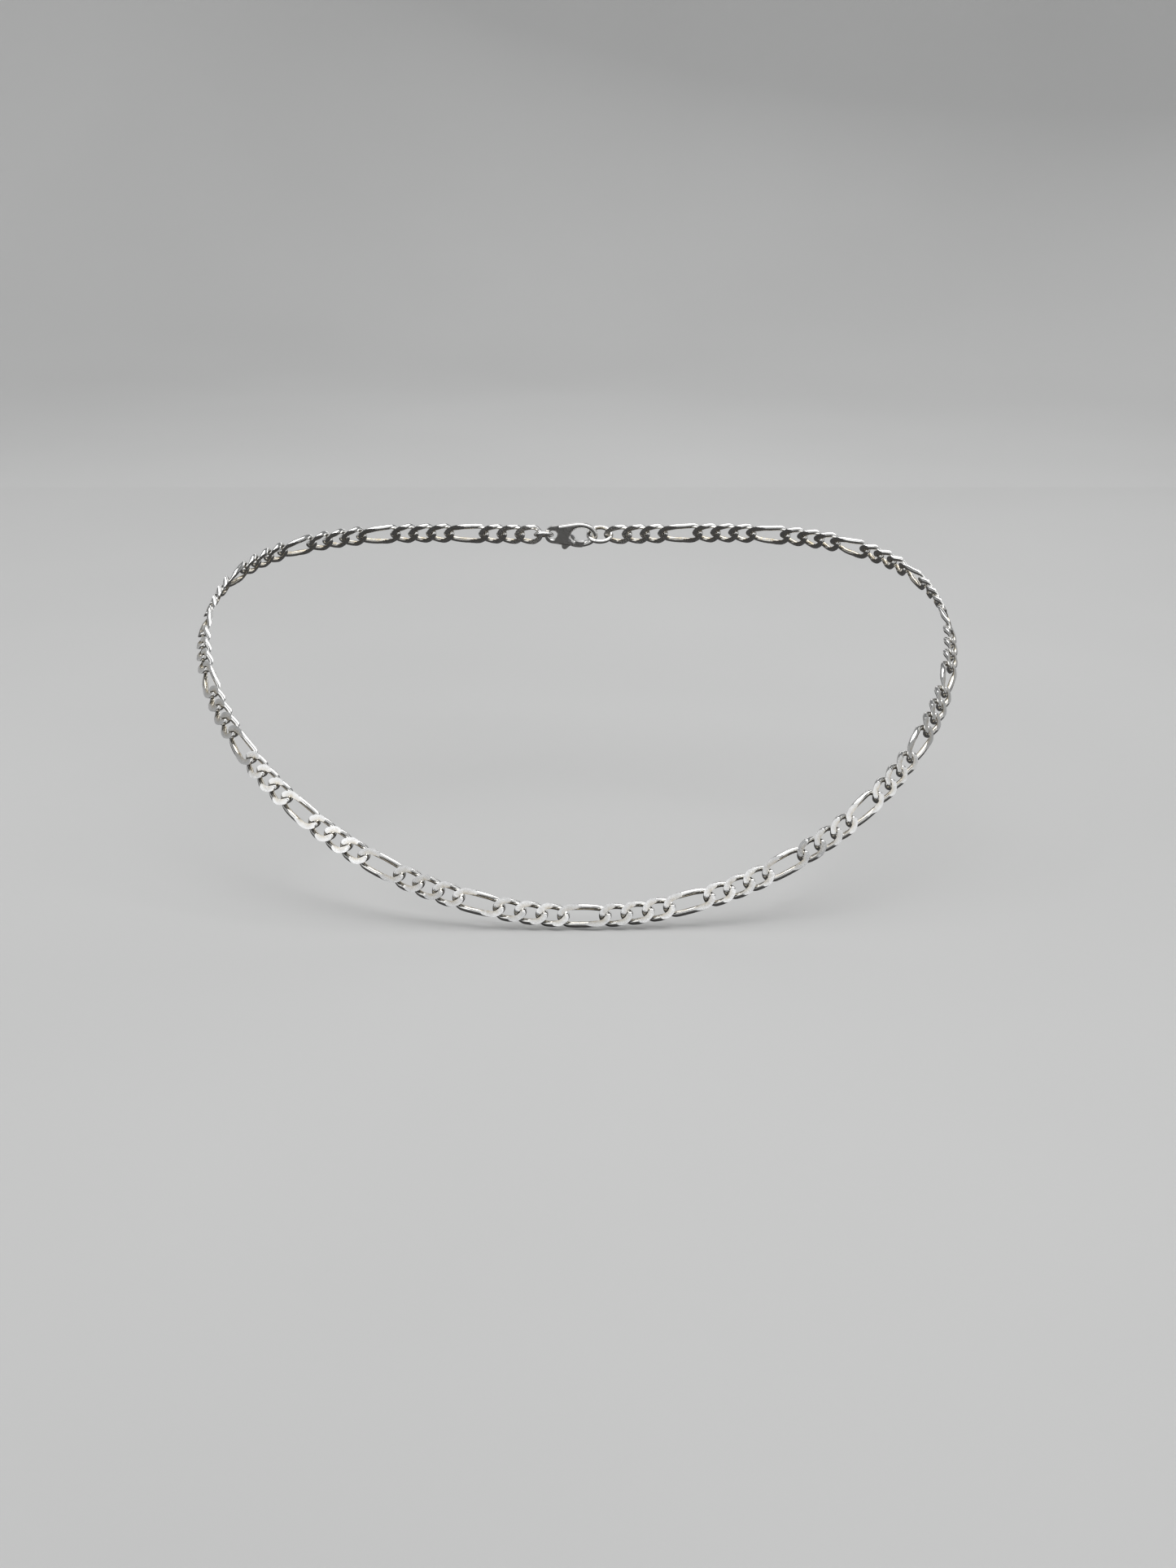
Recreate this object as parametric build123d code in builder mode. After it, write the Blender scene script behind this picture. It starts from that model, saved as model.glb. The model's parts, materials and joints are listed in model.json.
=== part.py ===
"""A 20 inch figaro chain necklace, as it lies when it is worn.

Every link is a twisted oval of round wire, ground flat on both faces. One long link follows every
three short ones, all the way round from the long link at the front to the clasp at the nape.
The frame: +X to the viewer's right, +Y from the throat towards the nape, +Z up. The origin is the
middle of the front long link, the lowest point of the chain. All sizes are in millimetres.
"""

from build123d import *
import os
from math import cos, pi, radians, sin, sqrt, tan

os.makedirs("parts", exist_ok=True)

# ---------------------------------------------------------------- driving dimensions
# chain
chain_width = 5.05          # across the outside of every link
wire = 1.30                 # diameter of the link wire
chain_thickness = 1.35      # between the two ground faces
short_pitch = 4.6           # from one joint to the next along a short link
long_pitch = 8.9            # the same along a long link
joint_gap = 0.10            # free play between the wires that cross at a joint
shorts_in_a_row = 3
repeats_per_side = 10       # long links on each side of the front one

# the bend of one link's wire
tip_reach = 1.32            # from the middle of a link's tip to the corner before its shoulder
shoulder_setback = 1.40     # from the tip back to the shoulder, along the link
shoulder_lift = 0.72        # how far the twist carries a shoulder out of the link's middle plane
bend_share = 0.43           # share of the shorter run that each bend takes up

# rings that join the chain to its clasp
clasp_ring_od = 5.2
clasp_ring_wire = 1.0
end_ring_od = 7.0
end_ring_wire = 1.1
ring_lean = 67.5            # degrees between a ring and the face of the chain
bearing_gap = 0.32          # between a ring and the clasp where they bear

# clasp body
clasp_reach = 10.5          # from its tail joint to its hook joint
clasp_thickness = 2.3
tail_bar = 1.05
tail_hole_r = 1.1
tail_rim = 0.4              # from the tail's hole to where the claw thickens
tail_thickness = 1.3
claw_half_width = 3.1
hook_bar = 1.5
eye_half_width = 1.75
eye_length = 5.35
edge_round = 0.5            # rounding along the clasp's outer edges
hook_round = 0.75           # rounding where the end ring bears
tail_chamfer = 0.3          # on the tail's hole, where the clasp ring bears

# clasp lever, its pin and its spring
pivot_from_eye = 0.3        # how far the pin stands behind the eye
pivot_height = 1.3
lever_hub_r = 1.15
lever_thickness = 1.3
slot_clearance = 0.1
mouth_setback = 1.85        # from the eye's far end back to where the lever meets the hook
mouth_gap = 0.1
knob_r = 0.75
knob_back = 1.3             # from the pin towards the tail
knob_out = 1.65             # from the pin out of the clasp's side
cheek_rim = 0.25            # how far the cheeks reach past the lever's hub
pin_d = 0.8
pin_clearance = 0.03        # radial, in the lever's bore
spring_leaf = 0.18          # thickness of the bent leaf round the hub
spring_width = 1.0
spring_from = 215.0         # degrees about the pin, from the hook's direction
spring_turn = 130.0

# the way the necklace hangs: heading and slope are sums of sine waves along each half
heading_waves = (-0.2107, 0.0735, -0.0575)      # radians, second to fourth wave
slope_waves = (0.3637, 0.2022, -0.0196, 0.0138)  # radians, first to fourth wave
face_tilt = 28.0            # degrees that the faces look upwards at the front
drape_steps = 2000

# ---------------------------------------------------------------- lengths along the chain
wire_r = wire / 2
short_half = short_pitch / 2 + wire_r + joint_gap / 2
long_half = long_pitch / 2 + wire_r + joint_gap / 2
clasp_ring_pitch = clasp_ring_od - 2 * clasp_ring_wire - joint_gap
end_ring_pitch = end_ring_od - 2 * end_ring_wire - joint_gap
repeat = shorts_in_a_row * short_pitch + long_pitch
chain_half = long_pitch / 2 + repeats_per_side * repeat + shorts_in_a_row * short_pitch
loop_length = 2 * chain_half + clasp_ring_pitch + clasp_reach + end_ring_pitch
loop_half = loop_length / 2


# ---------------------------------------------------------------- how the necklace hangs
def waves(share, first, sizes):
    """A sum of sine waves of the share of the half loop, the first one of number first."""
    return sum(size * sin((first + k) * pi * share) for k, size in enumerate(sizes))


def drape(fullness):
    """Points along the right half, from the front to the nape, for one size of the first wave."""
    step = loop_half / drape_steps
    here = Vector(0, 0, 0)
    points = [here]
    for k in range(drape_steps):
        share = (k + 0.5) / drape_steps
        heading = pi * share + fullness * sin(pi * share) + waves(share, 2, heading_waves)
        slope = waves(share, 1, slope_waves)
        along = Vector(cos(slope) * cos(heading), cos(slope) * sin(heading), sin(slope))
        here = here + along * step
        points.append(here)
    return points


def closing_fullness():
    """The first heading wave that brings both halves together at the nape, by halving."""
    low, high = -0.8, 0.8
    low_side = drape(low)[-1].X > 0
    for _ in range(40):
        middle = (low + high) / 2
        if (drape(middle)[-1].X > 0) == low_side:
            low = middle
        else:
            high = middle
    return (low + high) / 2


half_loop = drape(closing_fullness())


def on_loop(arc):
    """The point at a distance along the loop from the front: right is positive, left negative."""
    if arc < -loop_half:
        arc += loop_length
    place = min(abs(arc) / loop_half, 1) * drape_steps
    k = min(int(place), drape_steps - 1)
    point = half_loop[k] + (half_loop[k + 1] - half_loop[k]) * (place - k)
    return point if arc >= 0 else Vector(-point.X, point.Y, point.Z)


def chain_plane(start, end):
    """The plane of a piece between two joints: x along the loop, z out of the chain's face."""
    first, last = on_loop(start), on_loop(end)
    along = (last - first).normalized()
    outward = along.cross(Vector(0, 0, 1)).normalized()
    upward = outward.cross(along)
    share = (start + end) / 2 / loop_half
    tilt = radians(face_tilt) * (1 - min(abs(share), 1) ** 6)
    return Plane((first + last) / 2, x_dir=along, z_dir=outward * cos(tilt) + upward * sin(tilt))


# ---------------------------------------------------------------- links
def link_wire(half_length):
    """Corners and bend radii of half a link's wire, from one tip over the top to the other."""
    half_width = (chain_width - wire) / 2
    slant = tip_reach / sqrt(2)
    near = [(half_length, slant, -slant), (half_length - shoulder_setback, half_width, -shoulder_lift)]
    far = [(-x, y, -z) for x, y, z in reversed(near)]
    corners = [(half_length, 0, 0)] + near + far + [(-half_length, 0, 0)]
    spots = [Vector(*corner) for corner in corners]
    runs = [b - a for a, b in zip(spots, spots[1:])]
    lengths = [run.length for run in runs]
    lengths[0] *= 2
    lengths[-1] *= 2
    radii = []
    for k in range(len(runs) - 1):
        turn = radians(runs[k].get_angle(runs[k + 1]))
        radii.append(bend_share * min(lengths[k], lengths[k + 1]) / tan(turn / 2))
    return corners, radii


def make_link(half_length):
    """One link at the origin: its half wire, twice round, and both faces ground flat."""
    corners, radii = link_wire(half_length)
    with BuildPart() as half_link:
        with BuildLine():
            FilletPolyline(*corners, radius=radii)
        with BuildSketch(Plane(origin=corners[0], z_dir=(0, 1, -1))):
            Circle(wire_r)
        sweep()
    with BuildPart() as link:
        add(half_link)
        add(half_link, rotation=(0, 0, 180))
        Box(3 * half_length, 2 * chain_width, chain_thickness, mode=Mode.INTERSECT)
    return link.part


short_link = make_link(short_half)
long_link = make_link(long_half)


def finish(builder, node):
    """Label a finished piece and write its file."""
    builder.part.label = node
    export_step(builder.part, f"parts/{node}.step")


with BuildPart(chain_plane(-long_pitch / 2, long_pitch / 2)) as long_link_front:
    add(long_link)
finish(long_link_front, "long_link_front")

for side, sign in (("left", -1), ("right", 1)):
    for row in range(repeats_per_side + 1):
        row_start = long_pitch / 2 + row * repeat
        short_planes = []
        for k in range(shorts_in_a_row):
            ends = sorted((sign * (row_start + k * short_pitch), sign * (row_start + (k + 1) * short_pitch)))
            short_planes.append(chain_plane(*ends))
        with BuildPart(*short_planes) as short_links:
            add(short_link)
        finish(short_links, f"short_links_{side}_{row + 1}")
        if row < repeats_per_side:
            long_start = row_start + shorts_in_a_row * short_pitch
            ends = sorted((sign * long_start, sign * (long_start + long_pitch)))
            with BuildPart(chain_plane(*ends)) as long_link_side:
                add(long_link)
            finish(long_link_side, f"long_link_{side}_{row + 1}")

# ---------------------------------------------------------------- rings
tail_joint = -(chain_half + clasp_ring_pitch)
hook_joint = tail_joint - clasp_reach


def ring_plane(start, end, lean):
    """The plane that a ring lies in, leaned about the chain's line."""
    flat = chain_plane(start, end)
    across = flat.y_dir * cos(radians(lean)) + flat.z_dir * sin(radians(lean))
    return Plane(flat.origin, x_dir=flat.x_dir, z_dir=flat.x_dir.cross(across))


with BuildPart(ring_plane(tail_joint, -chain_half, -ring_lean)) as clasp_ring:
    Torus((clasp_ring_od - clasp_ring_wire) / 2, clasp_ring_wire / 2)
finish(clasp_ring, "clasp_ring")

with BuildPart(ring_plane(chain_half, chain_half + end_ring_pitch, ring_lean)) as end_ring:
    Torus((end_ring_od - end_ring_wire) / 2, end_ring_wire / 2)
finish(end_ring, "end_ring")

# ---------------------------------------------------------------- clasp
# The clasp's own plane: x from its tail joint to its hook joint, y to the lever's side.
flat_of_clasp = chain_plane(hook_joint, tail_joint)
clasp_plane = Plane(on_loop(tail_joint), x_dir=-flat_of_clasp.x_dir, z_dir=flat_of_clasp.z_dir)

tail_x = tail_hole_r + joint_gap / 2 - bearing_gap
eye_far = clasp_reach - joint_gap / 2 + bearing_gap
eye_x = eye_far - eye_length / 2
claw_near = tail_x + tail_hole_r + tail_bar
claw_x = (claw_near + eye_far + hook_bar) / 2
claw_half_length = eye_far + hook_bar - claw_x
pivot_x = eye_far - eye_length - pivot_from_eye
mouth_x = eye_far - mouth_setback
mouth_reach = mouth_x - pivot_x  # the lever's tip and the mouth are arcs about the pin
slot = lever_thickness + 2 * slot_clearance
cheek_r = lever_hub_r + cheek_rim
arm_near = cheek_r + slot_clearance
beyond = 2 * claw_half_width     # well past the clasp's side


def on_clasp(height=0.0):
    """The clasp's plane, raised through its thickness."""
    return clasp_plane.offset(height)


# the claw's outline: a teardrop round the tail's ring and the claw's oval
with BuildSketch() as claw_ends:
    with Locations((tail_x, 0)):
        Circle(tail_hole_r + tail_bar)
    with Locations((claw_x, 0)):
        Ellipse(claw_half_length, claw_half_width)
with BuildSketch() as claw_outline:
    make_hull(claw_ends.sketch.edges())

# the opening on the lever's side, from the pin to the mouth
with BuildSketch() as lever_side:
    with Locations(((pivot_x + mouth_x) / 2, pivot_height + beyond / 2)):
        Rectangle(mouth_x - pivot_x, beyond)
    with Locations(((pivot_x + cheek_r + mouth_x) / 2, beyond / 2)):
        Rectangle(mouth_x - pivot_x - cheek_r, beyond)
    with Locations((pivot_x, pivot_height)):
        Circle(mouth_reach, mode=Mode.INTERSECT)
        Circle(cheek_r, mode=Mode.SUBTRACT)

# the slot that the lever's hub and knob turn in
knob_room = knob_back + knob_r + 2 * slot_clearance
with BuildSketch() as lever_room:
    with Locations((pivot_x - knob_room / 2, pivot_height + beyond / 2)):
        Rectangle(knob_room, beyond)
    with Locations((pivot_x, pivot_height)):
        Circle(arm_near)

with BuildPart(clasp_plane) as clasp_body:
    with BuildSketch(on_clasp(-clasp_thickness / 2)):
        add(claw_outline)
    extrude(amount=clasp_thickness)
    fillet(clasp_body.edges(), edge_round)
    # the tail is thinner than the claw
    for face_side in (1, -1):
        with BuildSketch(on_clasp(face_side * tail_thickness / 2)):
            with Locations((tail_x + (tail_rim - tail_bar) / 2, 0)):
                Rectangle(2 * tail_hole_r + tail_bar + tail_rim, beyond)
        extrude(amount=face_side * clasp_thickness, mode=Mode.SUBTRACT)
    # the eye, with its rim rounded where the end ring bears
    with BuildSketch(on_clasp()):
        with Locations((eye_x, 0)):
            Ellipse(eye_length / 2, eye_half_width)
    extrude(amount=clasp_thickness, both=True, mode=Mode.SUBTRACT)
    fillet(clasp_body.edges(Select.LAST).filter_by(GeomType.LINE, reverse=True), hook_round)
    with BuildSketch(on_clasp()):
        with Locations((tail_x, 0)):
            Circle(tail_hole_r)
    extrude(amount=clasp_thickness, both=True, mode=Mode.SUBTRACT)
    chamfer(clasp_body.edges(Select.LAST).filter_by(GeomType.CIRCLE), tail_chamfer)
    # the lever's side stands open, but for two cheeks that carry the pin
    with BuildSketch(on_clasp()):
        add(lever_side)
    extrude(amount=clasp_thickness, both=True, mode=Mode.SUBTRACT)
    with BuildSketch(on_clasp()):
        add(lever_room)
    extrude(amount=slot / 2, both=True, mode=Mode.SUBTRACT)
    with BuildSketch(on_clasp()):
        with Locations((pivot_x, pivot_height)):
            Circle(pin_d / 2)
    extrude(amount=clasp_thickness, both=True, mode=Mode.SUBTRACT)
finish(clasp_body, "clasp_body")

# the lever: an arm that closes the mouth, a hub on the pin, and a knob for a fingernail
with BuildPart(clasp_plane) as clasp_lever:
    with BuildSketch(on_clasp()) as arm:
        with Locations((claw_x, 0)):
            Ellipse(claw_half_length, claw_half_width)
        with Locations((eye_x, 0)):
            Ellipse(eye_length / 2, eye_half_width, mode=Mode.SUBTRACT)
        with Locations(((pivot_x + mouth_x) / 2, beyond / 2 + slot_clearance)):
            Rectangle(mouth_x - pivot_x, beyond, mode=Mode.INTERSECT)
        with Locations((pivot_x, pivot_height)):
            Circle(mouth_reach - mouth_gap, mode=Mode.INTERSECT)
            Circle(arm_near, mode=Mode.SUBTRACT)
    extrude(amount=clasp_thickness / 2, both=True)
    with BuildSketch(on_clasp()):
        with BuildSketch(mode=Mode.PRIVATE) as hub_and_knob:
            with Locations((pivot_x, pivot_height)):
                Circle(lever_hub_r)
            with Locations((pivot_x - knob_back, pivot_height + knob_out)):
                Circle(knob_r)
        make_hull(hub_and_knob.sketch.edges())
        with BuildSketch(mode=Mode.PRIVATE) as arm_root:
            with Locations((claw_x, 0)):
                Ellipse(claw_half_length, claw_half_width)
            with Locations((eye_x, 0)):
                Ellipse(eye_length / 2, eye_half_width, mode=Mode.SUBTRACT)
            with Locations((pivot_x + arm_near, pivot_height + beyond / 2)):
                Rectangle(2 * arm_near, beyond, mode=Mode.INTERSECT)
        add(arm_root)
    extrude(amount=lever_thickness / 2, both=True)
    with BuildSketch(on_clasp()):
        with Locations((pivot_x, pivot_height)):
            Circle(pin_d / 2 + pin_clearance)
    extrude(amount=clasp_thickness, both=True, mode=Mode.SUBTRACT)
finish(clasp_lever, "clasp_lever")

with BuildPart(clasp_plane) as lever_pin:
    with BuildSketch(on_clasp()):
        with Locations((pivot_x, pivot_height)):
            Circle(pin_d / 2)
    extrude(amount=clasp_thickness / 2, both=True)
finish(lever_pin, "lever_pin")

# a bent leaf round the hub: its back end stands on the slot's floor, its free end is under the arm
with BuildPart(clasp_plane) as lever_spring:
    with BuildSketch(on_clasp()):
        with BuildLine():
            leaf_r = (lever_hub_r + arm_near) / 2
            CenterArc((pivot_x, pivot_height), leaf_r, spring_from, spring_turn)
        trace(line_width=spring_leaf)
    extrude(amount=spring_width / 2, both=True)
finish(lever_spring, "lever_spring")
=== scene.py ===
"""Looks of a 20 inch figaro chain necklace, held up as it is worn.

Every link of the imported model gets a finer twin: a twisted oval of round wire with both faces ground
flat. The twins, the rings and the clasp are polished silver, with satin where a face was ground.
All sizes are in metres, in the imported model's own frame: +X right, +Y to the nape, +Z up.
"""

import json
from math import cos, pi, radians, sin

import bpy
import numpy as np
from mathutils import Matrix, Vector


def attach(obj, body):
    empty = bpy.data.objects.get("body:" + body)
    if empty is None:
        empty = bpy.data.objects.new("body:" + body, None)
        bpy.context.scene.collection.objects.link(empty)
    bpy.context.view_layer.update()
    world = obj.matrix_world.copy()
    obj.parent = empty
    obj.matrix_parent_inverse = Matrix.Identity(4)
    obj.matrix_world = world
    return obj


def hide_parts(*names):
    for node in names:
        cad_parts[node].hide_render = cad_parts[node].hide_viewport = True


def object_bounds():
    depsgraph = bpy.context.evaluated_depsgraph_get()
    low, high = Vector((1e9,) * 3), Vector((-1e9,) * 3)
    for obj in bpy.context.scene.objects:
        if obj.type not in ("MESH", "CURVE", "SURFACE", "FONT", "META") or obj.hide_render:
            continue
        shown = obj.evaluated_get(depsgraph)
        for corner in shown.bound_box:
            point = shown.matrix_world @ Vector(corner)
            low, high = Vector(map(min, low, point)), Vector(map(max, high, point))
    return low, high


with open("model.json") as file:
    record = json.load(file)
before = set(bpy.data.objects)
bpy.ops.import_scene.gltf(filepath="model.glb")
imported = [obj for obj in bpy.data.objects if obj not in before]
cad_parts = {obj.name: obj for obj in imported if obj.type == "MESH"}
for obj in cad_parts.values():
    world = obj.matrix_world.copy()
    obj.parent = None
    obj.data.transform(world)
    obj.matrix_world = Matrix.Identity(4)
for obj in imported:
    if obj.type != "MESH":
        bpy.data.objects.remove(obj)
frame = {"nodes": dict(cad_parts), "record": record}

cad_low, cad_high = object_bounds()

# ---------------------------------------------------------------- sizes of the pieces
MM = 0.001
WIRE_R = 0.65 * MM              # round wire of every link
CHAIN_HALF_WIDTH = 1.875 * MM   # from a link's middle line to the middle of its bars
CHAIN_THICKNESS = 1.35 * MM     # between the two ground faces
TWIST = radians(45)             # each end of a link is turned this far out of its face
SHORT_HALF = 3.0 * MM           # half lengths, along the wire's middle
LONG_HALF = 5.15 * MM
END_REACH = 1.9 * MM            # each end is half an ellipse of this reach
SHORT_TWIST_POWER = 1.0         # how the twist grows from a link's middle to its end
LONG_TWIST_POWER = 1.5
SOLDER_SWELL = 0.035            # share by which the wire swells at its solder joint
SOLDER_REACH = 0.35 * MM
FACE_TILT = radians(1.3)        # each face is ground at its own slight tilt, up to about this

BEND_STATIONS = 34              # round one end of a link
BAR_STATIONS = 14               # along one straight bar of a long link
SIDE_STEPS = 9                  # round the wire, on each side of the ground faces
FACE_STEPS = 3                  # across a ground face
FACE_FADES = radians(74)        # past this angle round the wire a face is too slight to grind
FACE_EDGE = 0.02                # a station this near the limit, in radians, has no ground face
RING_STATIONS = 96              # round a ring
RING_SIDES = 24                 # round a ring's wire

RNG = np.random.default_rng(20)


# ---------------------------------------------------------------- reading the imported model
def welded(node):
    """The points and triangles of a CAD node, with points that share a place made one."""
    data = frame["nodes"][node].data
    data.calc_loop_triangles()
    points = np.zeros(len(data.vertices) * 3)
    data.vertices.foreach_get("co", points)
    corners = np.zeros(len(data.loop_triangles) * 3, np.int64)
    data.loop_triangles.foreach_get("vertices", corners)
    keys = np.round(points.reshape(-1, 3) / (0.001 * MM)).astype(np.int64)
    _, first, place = np.unique(keys, axis=0, return_index=True, return_inverse=True)
    return points.reshape(-1, 3)[first], place.reshape(-1)[corners].reshape(-1, 3)


def loose_parts(node):
    """The separate solids of a CAD node: each triangle takes the lowest label that it can reach."""
    points, triangles = welded(node)
    label = np.arange(len(points))
    while True:
        lowest = label[triangles].min(axis=1)
        spread = label.copy()
        for corner in range(3):
            np.minimum.at(spread, triangles[:, corner], lowest)
        spread = spread[spread]
        if (spread == label).all():
            break
        label = spread
    owner = label[triangles[:, 0]]
    return [points[triangles[owner == one]] for one in np.unique(owner)]


def own_frame(corners):
    """Centre and axes of a solid's surface, from its second moments: long, middle, short.

    The moment of a triangle about its own centre is its area times the sum of its corners' outer
    products over twelve, and the centre's own outer product carries the rest.
    """
    cross = np.cross(corners[:, 1] - corners[:, 0], corners[:, 2] - corners[:, 0])
    area = np.linalg.norm(cross, axis=1) / 2
    middle = corners.mean(axis=1)
    centre = (middle * area[:, None]).sum(axis=0) / area.sum()
    arms = corners - centre
    spot = middle - centre
    moment = np.einsum("t,tci,tcj->ij", area, arms, arms) + 9 * np.einsum("t,ti,tj->ij", area, spot, spot)
    _, axes = np.linalg.eigh(moment)
    long_axis, middle_axis = axes[:, 2], axes[:, 1]
    return centre, np.stack([long_axis, middle_axis, np.cross(long_axis, middle_axis)], axis=1)


# ---------------------------------------------------------------- surfaces
def wire_path(half_length, twist_power):
    """The middle line of a twisted link, as stations round it.

    An oval: two half ellipses joined by straight bars. The oval is then twisted about its long axis,
    by an angle that grows as a power of the distance from the middle, to opposite hands at the ends.
    """
    bar = half_length - END_REACH
    bar_stations = BAR_STATIONS if bar > 0 else 0
    quarter = np.concatenate([
        np.linspace(0, 1, BEND_STATIONS, endpoint=False),
        1 + np.linspace(0, 1, bar_stations, endpoint=False),
        2 + np.linspace(0, 1, BEND_STATIONS, endpoint=False),
        3 + np.linspace(0, 1, bar_stations, endpoint=False),
    ])
    turn = np.interp(quarter, [0, 1, 2, 3, 4], [-pi / 2, pi / 2, pi / 2, 3 * pi / 2, 3 * pi / 2])
    slide = np.interp(quarter, [0, 1, 2, 3, 4], [bar, bar, -bar, -bar, bar])
    along = slide + END_REACH * np.cos(turn)
    across = CHAIN_HALF_WIDTH * np.sin(turn)
    share = along / half_length
    twist = -TWIST * np.sign(share) * np.abs(share) ** twist_power
    return np.stack([along, across * np.cos(twist), across * np.sin(twist)], axis=1)


def ground_link(half_length, twist_power, tilt):
    """A link: round wire carried along its path, cut flat by two planes.

    At each station the wire's circle is drawn about the path, with angle ninety facing the ground
    face. The angle at which the plane cuts the circle has the sine (plane height less path height)
    over the wire's radius. The grid puts one column on each side of the cut, and lays the columns
    between them on the plane, so the edge of every face is crisp.
    """
    path = wire_path(half_length, twist_power)
    stations = len(path)
    ahead = np.roll(path, -1, axis=0) - np.roll(path, 1, axis=0)
    ahead /= np.linalg.norm(ahead, axis=1)[:, None]
    normal = np.array([tilt[0], tilt[1], 1.0])
    normal /= np.linalg.norm(normal)
    rise = normal - (ahead @ normal)[:, None] * ahead
    steepness = np.linalg.norm(rise, axis=1)
    rise /= steepness[:, None]
    side = np.cross(ahead, rise)

    seam = np.exp(-(path[:, 0] / SOLDER_REACH) ** 2) * (path[:, 1] < 0)
    radius = WIRE_R * (1 + SOLDER_SWELL * seam)
    height = path @ normal
    face = CHAIN_THICKNESS / 2
    limit = sin(FACE_FADES)
    top = np.arcsin(np.clip((face - height) / (radius * steepness), -limit, limit))
    base = np.arcsin(np.clip((-face - height) / (radius * steepness), -limit, limit))
    fractions = [(base, top, SIDE_STEPS), (top, pi - top, FACE_STEPS),
                 (pi - top, pi - base, SIDE_STEPS), (pi - base, 2 * pi + base, FACE_STEPS)]
    angle = np.concatenate([
        start[:, None] + (end - start)[:, None] * np.linspace(0, 1, steps, endpoint=False)
        for start, end, steps in fractions
    ], axis=1)
    lift = np.clip(
        height[:, None] + (radius * steepness)[:, None] * np.sin(angle), -face, face
    )
    up = (lift - height[:, None]) / steepness[:, None]
    out = radius[:, None] * np.cos(angle)
    points = path[:, None] + out[..., None] * side[:, None] + up[..., None] * rise[:, None]

    columns = angle.shape[1]
    on_face = np.zeros(columns, bool)
    on_face[SIDE_STEPS:SIDE_STEPS + FACE_STEPS] = True
    on_face[2 * SIDE_STEPS + FACE_STEPS:] = True
    is_cut = np.stack([top < FACE_FADES - FACE_EDGE, base > FACE_EDGE - FACE_FADES], axis=1)
    # how far each point faces in towards the link's middle: the mask for the painted shade
    inward = -(out[..., None] * side[:, None])[..., 1] * np.sign(path[:, 1:2]) / WIRE_R
    return points, on_face, is_cut, np.clip(inward, 0, 1), stations, columns


def tube_quads(stations, columns):
    """The quads of a closed tube whose points are stations by columns, facing outwards."""
    row = np.arange(stations)[:, None]
    column = np.arange(columns)[None]
    next_row, next_column = (row + 1) % stations, (column + 1) % columns
    quads = np.stack([
        row * columns + column, row * columns + next_column,
        next_row * columns + next_column, next_row * columns + column,
    ], axis=-1)
    return quads.reshape(-1, 4)


def outward(points, quads):
    """The quads, turned over if they enclose a negative volume."""
    a, b, c, d = (points[quads[:, k]] for k in range(4))
    volume = (np.cross(b - a, c - a) * a).sum() + (np.cross(c - a, d - a) * a).sum()
    return quads if volume > 0 else quads[:, ::-1]


def piece(name, points, quads, materials, finish_of_face, creased, painted_shade_mask):
    """A mesh object with its face finishes, its crisp edges and how far each point faces inwards, which
    sets its painted shade.
    """
    mesh = bpy.data.meshes.new(name)
    mesh.from_pydata(points, [], quads.tolist(), shade_flat=False)
    for material in materials:
        mesh.materials.append(material)
    mesh.polygons.foreach_set("material_index", finish_of_face.astype(np.int32))
    edges = np.zeros(len(mesh.edges) * 2, np.int32)
    mesh.edges.foreach_get("vertices", edges)
    both = creased[edges.reshape(-1, 2)]
    sharp = (both[:, 0] > 0) & (both[:, 0] == both[:, 1])
    mesh.attributes.new("sharp_edge", "BOOLEAN", "EDGE").data.foreach_set("value", sharp)
    # each point's painted shade mask, read by the silver finishes
    mesh.attributes.new("painted_shade_mask", "FLOAT", "POINT").data.foreach_set("value", painted_shade_mask.astype(np.float32))
    mesh.update()
    made = bpy.data.objects.new(name, mesh)
    bpy.context.scene.collection.objects.link(made)
    return made


def placed(points, centre, axes):
    """Points of a piece's own frame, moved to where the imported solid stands."""
    return points @ axes.T + centre


def link_piece(node):
    """The finer twin of one CAD node of links, all its links in one mesh."""
    half_length, power = (LONG_HALF, LONG_TWIST_POWER) if node.startswith("long") else (
        SHORT_HALF, SHORT_TWIST_POWER)
    points, quads, finishes, creases, painted_shade_masks = [], [], [], [], []
    start = 0
    for corners in loose_parts(node):
        tilt = np.clip(RNG.normal(0, FACE_TILT / 2, 2), -FACE_TILT, FACE_TILT)
        grid, on_face, is_cut, painted_shade_mask, stations, columns = ground_link(half_length, power, tilt)
        own = grid.reshape(-1, 3)
        own_quads = outward(own, tube_quads(stations, columns))
        row = own_quads.min(axis=1) // columns
        corner_column = own_quads % columns
        wraps = np.ptp(corner_column, axis=1) > 1
        column = np.where(wraps, columns - 1, corner_column.min(axis=1))
        upper = column < columns // 2
        cut_here = np.where(upper, is_cut[row, 0], is_cut[row, 1])
        crease = np.zeros((stations, columns), int)
        edge_columns = [SIDE_STEPS, SIDE_STEPS + FACE_STEPS, 2 * SIDE_STEPS + FACE_STEPS, 0]
        for number, edge_column in enumerate(edge_columns, 1):
            crease[:, edge_column] = number * is_cut[:, 0 if number < 3 else 1]
        points.append(placed(own, *own_frame(corners)))
        quads.append(own_quads + start)
        finishes.append(on_face[column] & cut_here)
        creases.append(crease.reshape(-1))
        # each link's inward mask, which sets where its painted shade falls
        painted_shade_masks.append(painted_shade_mask.reshape(-1))
        start += len(own)
    joined = [np.concatenate(part) for part in (points, quads, finishes, creases, painted_shade_masks)]
    return piece(f"{node}_silver", joined[0], joined[1], [POLISHED, GROUND], *joined[2:])


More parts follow.
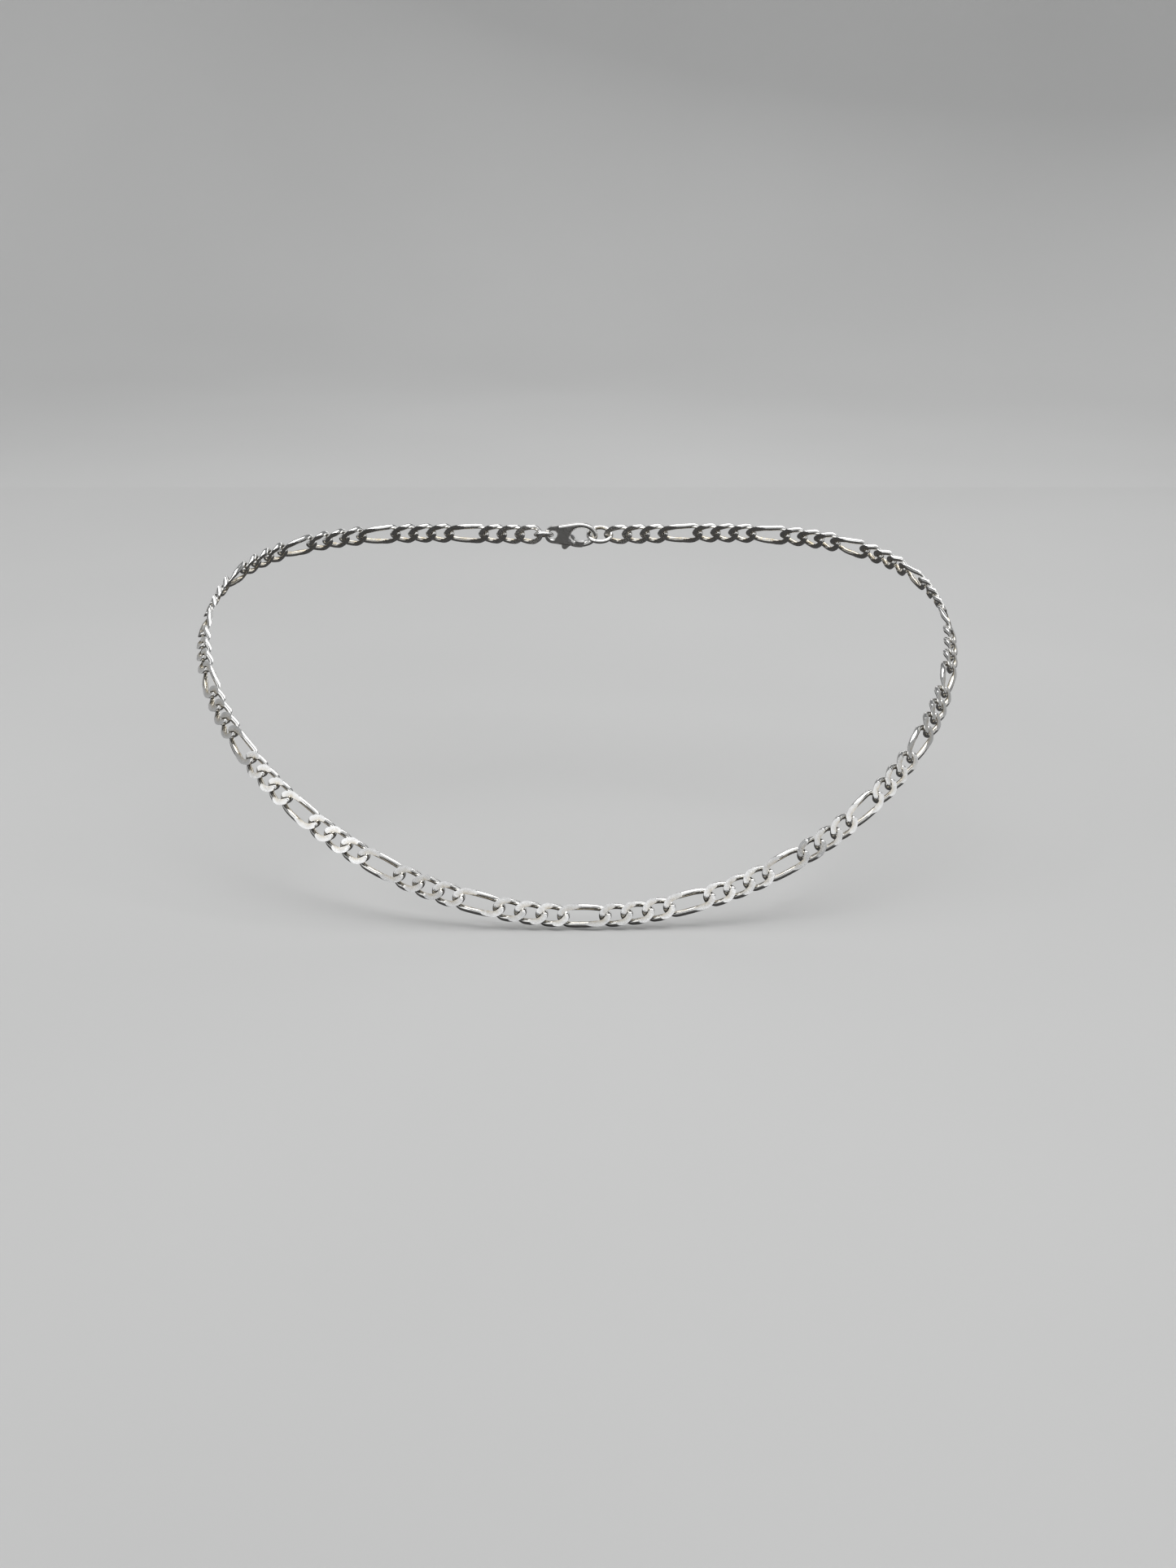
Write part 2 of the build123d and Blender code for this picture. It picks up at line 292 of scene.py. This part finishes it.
def ring_piece(node, wire_r):
    """A round ring of round wire, with the slight swell of its solder joint.

    The wire's circle is carried round a circle in the ring's own plane.
    """
    corners = loose_parts(node)[0]
    centre, axes = own_frame(corners)
    reach = np.abs((corners.reshape(-1, 3) - centre) @ axes[:, 0]).max()
    turn = np.arange(RING_STATIONS) / RING_STATIONS * 2 * pi
    angle = np.arange(RING_SIDES) / RING_SIDES * 2 * pi
    seam = np.exp(-((turn - pi) * reach / SOLDER_REACH) ** 2)
    radius = wire_r * (1 - SOLDER_SWELL + SOLDER_SWELL * seam)[:, None]
    spread = reach - wire_r + radius * np.cos(angle)
    points = np.stack([spread * np.cos(turn)[:, None], spread * np.sin(turn)[:, None],
                       radius * np.sin(angle)], axis=-1).reshape(-1, 3)
    quads = outward(points, tube_quads(RING_STATIONS, RING_SIDES))
    # the inner side of the ring's wire is the mask for its painted shade
    painted_shade_mask = np.tile(np.clip(-np.cos(angle), 0, 1), RING_STATIONS)
    none = np.zeros(len(points), int)
    return piece(f"{node}_silver", placed(points, centre, axes), quads, [POLISHED],
                 np.zeros(len(quads), bool), none, painted_shade_mask)


# ---------------------------------------------------------------- finishes
class Finish:
    """A node material on Object coordinates, with short ways to add its layers."""

    def __init__(self, name):
        self.material = bpy.data.materials.new(name)
        self.material.use_nodes = True
        self.nodes = self.material.node_tree.nodes
        self.links = self.material.node_tree.links
        self.shader = self.nodes["Principled BSDF"]
        self.place = self.nodes.new("ShaderNodeTexCoord").outputs["Object"]

    def noise(self, size, detail=3.0, roughness=0.5, stretch=(1, 1, 1), turn=(0, 0, 0)):
        """A cloud of about one size in metres, drawn out along an axis by the stretch."""
        mapping = self.nodes.new("ShaderNodeMapping")
        mapping.inputs["Rotation"].default_value = turn
        mapping.inputs["Scale"].default_value = [1 / (size * s) for s in stretch]
        noise = self.nodes.new("ShaderNodeTexNoise")
        noise.inputs["Scale"].default_value = 1.0
        noise.inputs["Detail"].default_value = detail
        noise.inputs["Roughness"].default_value = roughness
        self.links.new(self.place, mapping.inputs["Vector"])
        self.links.new(mapping.outputs["Vector"], noise.inputs["Vector"])
        return noise.outputs["Fac"]

    def ramp(self, value, low, high, start=0.35, end=0.65):
        """A colour that runs from low to high as the value runs from start to end."""
        ramp = self.nodes.new("ShaderNodeValToRGB")
        ramp.color_ramp.elements[0].position, ramp.color_ramp.elements[1].position = start, end
        ramp.color_ramp.elements[0].color = (*low, 1)
        ramp.color_ramp.elements[1].color = (*high, 1)
        self.links.new(value, ramp.inputs["Fac"])
        return ramp.outputs["Color"]

    def remap(self, value, low, high, start=0.3, end=0.7):
        """A number that runs from low to high as the value runs from start to end."""
        remap = self.nodes.new("ShaderNodeMapRange")
        for socket, number in zip(("From Min", "From Max", "To Min", "To Max"), (start, end, low, high)):
            remap.inputs[socket].default_value = number
        self.links.new(value, remap.inputs["Value"])
        return remap.outputs["Result"]

    def mix(self, share, first, second):
        """The first colour, turned into the second by the share."""
        mix = self.nodes.new("ShaderNodeMix")
        mix.data_type = "RGBA"
        self.links.new(share, mix.inputs["Factor"])
        self.links.new(first, mix.inputs[6])
        self.links.new(second, mix.inputs[7])
        return mix.outputs[2]

    def math(self, operation, first, second):
        """Two numbers joined by an operation."""
        node = self.nodes.new("ShaderNodeMath")
        node.operation = operation
        for socket, value in zip(node.inputs, (first, second)):
            if isinstance(value, (int, float)):
                socket.default_value = value
            else:
                self.links.new(value, socket)
        return node.outputs["Value"]

    def bump(self, height, depth):
        """Relief of a height from nought to one, to a depth in metres."""
        bump = self.nodes.new("ShaderNodeBump")
        bump.inputs["Distance"].default_value = depth
        bump.inputs["Strength"].default_value = 1.0
        self.links.new(height, bump.inputs["Height"])
        self.links.new(bump.outputs["Normal"], self.shader.inputs["Normal"])

    def feed(self, socket, value):
        """The value, led to one of the shader's sockets."""
        self.links.new(value, self.shader.inputs[socket])


def silver(name, bright, dull, painted_shade_colour, shine, scratch_depth, dent_depth):
    """Polished sterling: clouds of tone, painted warm shade on the wire's inward sides, and fine
    scratches.
    """
    finish = Finish(name)
    finish.shader.inputs["Metallic"].default_value = 1.0
    tone = finish.ramp(finish.noise(1.6 * MM), dull, bright, 0.3, 0.6)
    painted_shade_mask = finish.nodes.new("ShaderNodeAttribute")
    painted_shade_mask.attribute_name = "painted_shade_mask"
    # painted shade: where the wire faces inwards, broken up by a cloud, the colour turns to a darker warm
    # tone and the roughness rises a little
    painted_shade_share = finish.math("MULTIPLY", painted_shade_mask.outputs["Fac"], finish.remap(finish.noise(0.9 * MM), 0.25, 1.0))
    painted_shade_tone = finish.ramp(finish.noise(0.5 * MM), painted_shade_colour, [c * 0.8 for c in painted_shade_colour])
    finish.feed("Base Color", finish.mix(painted_shade_share, tone, painted_shade_tone))
    scuffs = finish.remap(finish.noise(0.35 * MM, detail=4), shine[0], shine[1])
    finish.feed("Roughness", finish.math("ADD", scuffs, finish.math("MULTIPLY", painted_shade_share, 0.12)))
    one_way = finish.noise(0.045 * MM, 2, 0.6, (14, 1, 1), (0.3, 0.2, 0.6))
    other_way = finish.noise(0.05 * MM, 2, 0.6, (1, 12, 1), (0.5, 0.9, 0.1))
    scratches = finish.math("MULTIPLY", finish.math("ADD", one_way, other_way), scratch_depth / MM)
    dents = finish.math("MULTIPLY", finish.noise(0.8 * MM, 1), dent_depth / MM)
    finish.bump(finish.math("ADD", scratches, dents), 1 * MM)
    return finish.material


def steel(name, low, high, grain_size):
    """Drawn or turned steel: a grey with fine grain along one way."""
    finish = Finish(name)
    finish.shader.inputs["Metallic"].default_value = 1.0
    finish.feed("Base Color", finish.ramp(finish.noise(0.5 * MM), low, high))
    grain = finish.noise(grain_size, 3, 0.6, (10, 1, 1))
    finish.feed("Roughness", finish.remap(grain, 0.2, 0.4))
    finish.bump(grain, 0.002 * MM)
    return finish.material


# the third colour of each silver is its painted shade, a warm dark tone laid on the wire's inward sides
POLISHED = silver("polished silver", (0.96, 0.955, 0.94), (0.87, 0.865, 0.85), (0.72, 0.62, 0.44),
                  (0.05, 0.14), 0.0005 * MM, 0.006 * MM)
GROUND = silver("ground silver faces", (0.93, 0.93, 0.925), (0.80, 0.80, 0.80), (0.72, 0.62, 0.44),
                (0.14, 0.28), 0.0005 * MM, 0.003 * MM)
CAST = silver("cast silver clasp", (0.94, 0.935, 0.92), (0.84, 0.835, 0.82), (0.72, 0.62, 0.44),
              (0.10, 0.22), 0.0008 * MM, 0.006 * MM)
RIVET = steel("steel rivet", (0.55, 0.55, 0.56), (0.72, 0.72, 0.73), 0.05 * MM)
LEAF = steel("spring leaf", (0.42, 0.43, 0.46), (0.60, 0.61, 0.64), 0.03 * MM)

# ---------------------------------------------------------------- the necklace
RING_WIRE_R = {"clasp_ring": 0.5 * MM, "end_ring": 0.55 * MM}
CAD_FINISH = {"clasp_body": CAST, "clasp_lever": CAST, "lever_pin": RIVET, "lever_spring": LEAF}

for body, members in frame["record"]["behaviour"]["bodies"].items():
    for node in members:
        if node in CAD_FINISH:
            data = frame["nodes"][node].data
            data.materials.clear()
            data.materials.append(CAD_FINISH[node])
            continue
        if node in RING_WIRE_R:
            made, slot = ring_piece(node, RING_WIRE_R[node]), "rings"
        else:
            made = link_piece(node)
            slot = "long_links" if node.startswith("long") else "short_links"
        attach(made, body)
        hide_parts(node)

# ---------------------------------------------------------------- floor, light and camera
FLOOR_GAP = 0.2 * MM            # from the lowest link down to the floor
FLOOR_REACH = 0.75              # where the floor starts to curve up into the wall
WALL_BEND = 0.45                # radius of the curve, and the height of the wall
HEM_HEIGHT = 0.1                # down to this height a hem hangs behind the curve's top edge
FLOOR_START = 0.05              # radius of the floor's innermost ring
FLOOR_RINGS = 10                # rings on the flat floor
BEND_RINGS = 15                 # rings up the curve
FLOOR_SIDES = 72
CARD_REACH = 0.45               # half the side of the dark card
CARD_LIFT = 0.1 * MM
WORLD_STRENGTH = 0.20

# each soft light: where it stands from the middle of the necklace, its two sides in metres, its watts
SOFTBOXES = {
    "overhead": ((0.05, 0.10, 0.85), 1.3, 0.9, 7.2),
    "behind the camera": ((-0.10, -0.90, 0.72), 1.4, 0.35, 1.25),
    "left": ((-0.85, -0.50, 0.55), 0.8, 0.7, 1.4),
    "right": ((0.80, -0.45, 0.50), 0.7, 0.5, 0.75),
    "behind": ((0.30, 0.90, 0.40), 0.8, 0.3, 0.7),
}


def cyclorama(low):
    """A round floor that curves up into a wall: a profile turned about the necklace.

    The profile is a flat run, a quarter circle and a hem that hangs straight down behind it.
    """
    bend = np.linspace(0, pi / 2, BEND_RINGS + 1)[1:]
    reach = np.concatenate([
        np.geomspace(FLOOR_START, FLOOR_REACH, FLOOR_RINGS),
        FLOOR_REACH + WALL_BEND * np.sin(bend),
        [FLOOR_REACH + WALL_BEND],
    ])
    rise = np.concatenate([np.zeros(FLOOR_RINGS), WALL_BEND * (1 - np.cos(bend)), [HEM_HEIGHT]])
    turn = np.arange(FLOOR_SIDES) / FLOOR_SIDES * 2 * pi
    middle = (cad_low + cad_high) / 2
    rings = len(reach)
    points = np.stack([
        middle.x + reach[:, None] * np.cos(turn), middle.y + reach[:, None] * np.sin(turn),
        low + np.broadcast_to(rise[:, None], (rings, FLOOR_SIDES)),
    ], axis=-1).reshape(-1, 3)
    quads = tube_quads(rings, FLOOR_SIDES)[:(rings - 1) * FLOOR_SIDES]
    fan = [(len(points), k, (k + 1) % FLOOR_SIDES) for k in range(FLOOR_SIDES)]
    mesh = bpy.data.meshes.new("floor")
    mesh.from_pydata(np.vstack([points, [middle.x, middle.y, low]]), [], quads[:, ::-1].tolist() + fan,
                     shade_flat=False)
    made = bpy.data.objects.new("floor", mesh)
    bpy.context.scene.collection.objects.link(made)
    finish = Finish("pale floor")
    finish.feed("Base Color", finish.ramp(finish.noise(0.4), (0.58, 0.58, 0.575), (0.62, 0.62, 0.615)))
    finish.shader.inputs["Roughness"].default_value = 0.85
    mesh.materials.append(finish.material)


def dark_card(low):
    """A dark card that only polished metal sees, just over the floor: it draws the links' edges."""
    middle = (cad_low + cad_high) / 2
    corners = [(middle.x + x * CARD_REACH, middle.y + y * CARD_REACH, low + CARD_LIFT)
               for x, y in ((-1, -1), (1, -1), (1, 1), (-1, 1))]
    mesh = bpy.data.meshes.new("dark_card")
    mesh.from_pydata(corners, [], [(0, 1, 2, 3)])
    made = bpy.data.objects.new("dark_card", mesh)
    bpy.context.scene.collection.objects.link(made)
    made.visible_camera = made.visible_diffuse = made.visible_shadow = False
    finish = Finish("dark card")
    finish.feed("Base Color", finish.ramp(finish.noise(0.1), (0.035, 0.034, 0.033), (0.05, 0.048, 0.046)))
    finish.shader.inputs["Roughness"].default_value = 0.9
    mesh.materials.append(finish.material)


def softbox(name, place, target, width, height, power):
    """A soft rectangular light at a place, turned to a target."""
    light = bpy.data.lights.new(name, "AREA")
    light.shape = "RECTANGLE"
    light.size, light.size_y, light.energy = width, height, power
    made = bpy.data.objects.new(name, light)
    made.location = place
    made.rotation_euler = (Vector(target) - Vector(place)).to_track_quat("-Z", "Y").to_euler()
    bpy.context.scene.collection.objects.link(made)


def studio():
    """A dim grey room, a broad light overhead, and softer ones before, behind and at both sides."""
    world = bpy.data.worlds.new("studio")
    bpy.context.scene.world = world
    world.use_nodes = True
    world.node_tree.nodes["Background"].inputs["Color"].default_value = (0.96, 0.98, 1.0, 1)
    world.node_tree.nodes["Background"].inputs["Strength"].default_value = WORLD_STRENGTH
    middle = (cad_low + cad_high) / 2
    for name, (place, width, height, power) in SOFTBOXES.items():
        softbox(name, middle + Vector(place), middle, width, height, power)


CAMERA_PITCH = radians(17.6)
CAMERA_YAW = radians(1.54)
CAMERA_ROLL = radians(-0.27)
CAMERA_BACK = 500.4 * MM        # from the front link back along the view
CAMERA_ASIDE = 0.78 * MM
CAMERA_UP = 28.1 * MM
LENS = 54.07


def camera():
    """The camera, placed from the front link by its pitch, yaw and roll."""
    across = Vector((cos(CAMERA_YAW), -sin(CAMERA_YAW), 0))
    level = Vector((sin(CAMERA_YAW), cos(CAMERA_YAW), 0))
    view = level * cos(CAMERA_PITCH) - Vector((0, 0, sin(CAMERA_PITCH)))
    above = across.cross(view)
    right = across * cos(CAMERA_ROLL) - above * sin(CAMERA_ROLL)
    up = across * sin(CAMERA_ROLL) + above * cos(CAMERA_ROLL)
    data = bpy.data.cameras.new("camera")
    data.lens = LENS
    data.clip_start, data.clip_end = 0.01, 20
    made = bpy.data.objects.new("camera", data)
    place = right * CAMERA_ASIDE + up * CAMERA_UP - view * CAMERA_BACK
    made.matrix_world = Matrix.Translation(place) @ Matrix((right, up, -view)).transposed().to_4x4()
    bpy.context.scene.collection.objects.link(made)
    bpy.context.scene.camera = made


cyclorama(cad_low.z - FLOOR_GAP)
dark_card(cad_low.z - FLOOR_GAP)
studio()
camera()
bpy.context.scene.view_settings.view_transform = "Standard"
